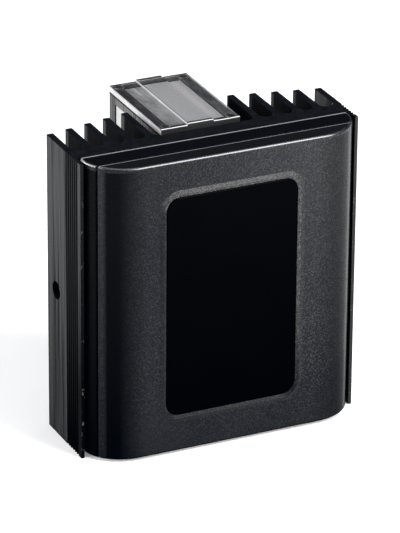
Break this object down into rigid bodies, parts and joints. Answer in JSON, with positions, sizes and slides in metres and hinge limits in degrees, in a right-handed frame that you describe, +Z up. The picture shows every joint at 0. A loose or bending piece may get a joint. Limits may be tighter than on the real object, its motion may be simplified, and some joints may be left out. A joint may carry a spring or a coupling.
{
  "type": "infrared illuminator",
  "caption": "Infrared illuminator with a black window in a rounded metal front, on a finned heat sink with a narrow driver box and clear lid at the back.",
  "frame": {"origin": "middle of the whole object's footprint, at the lower end of the heat sink", "axes": "+Z up along the fins, -Y the way the window faces, +X to the right as seen from the window's side"},
  "size_m": [0.125, 0.085, 0.1333],
  "materials": {
    "sink_metal": "dark grey anodised extrusion",
    "front_metal": "dark grey coating with a fine grain",
    "case_metal": "grey satin coating",
    "window_black": "polished black that passes only infrared",
    "clear_plastic": "clear and polished",
    "black_rubber": "matt",
    "grey_rubber": "soft and matt",
    "steel": "zinc plated",
    "dark_steel": "blackened",
    "board_white": "white lacquer on a metal board",
    "board_green": "green lacquer",
    "led_package": "white body with a clear dome",
    "black_plastic": "moulded and matt",
    "green_plastic": "moulded",
    "ferrite": "dark pressed core",
    "capacitor_can": "sleeved can",
    "lead_insulation": "smooth",
    "panel_grey": "light grey and matt",
    "label_white": "blank"
  },
  "bodies": {
    "root": {"heat_sink": "sink_metal", "front_frame": "front_metal", "front_cover": "front_metal", "driver_case": "case_metal", "window_pane": "window_black", "clear_lid": "clear_plastic", "lens_array": "clear_plastic", "frame_gasket": "black_rubber", "cover_gasket": "black_rubber", "window_seal": "black_rubber", "case_seal": "black_rubber", "lid_gasket": "black_rubber", "lead_grommet": "black_rubber", "gland_seal": "black_rubber", "thermal_pad": "grey_rubber", "window_retainer": "steel", "retainer_screws": "steel", "board_screws": "steel", "cover_screws": "steel", "case_screws": "steel", "lid_screws": "dark_steel", "led_board": "board_white", "driver_board": "board_green", "leds": "led_package", "driver_connector": "black_plastic", "board_connector": "black_plastic", "light_sensor": "black_plastic", "power_transistor": "black_plastic", "driver_chips": "black_plastic", "cable_gland_body": "black_plastic", "gland_nut": "black_plastic", "gland_locknut": "black_plastic", "terminal_block": "green_plastic", "inductor": "ferrite", "capacitors": "capacitor_can", "led_leads": "lead_insulation", "inner_panel": "panel_grey", "side_label": "label_white"}
  },
  "joints": []
}
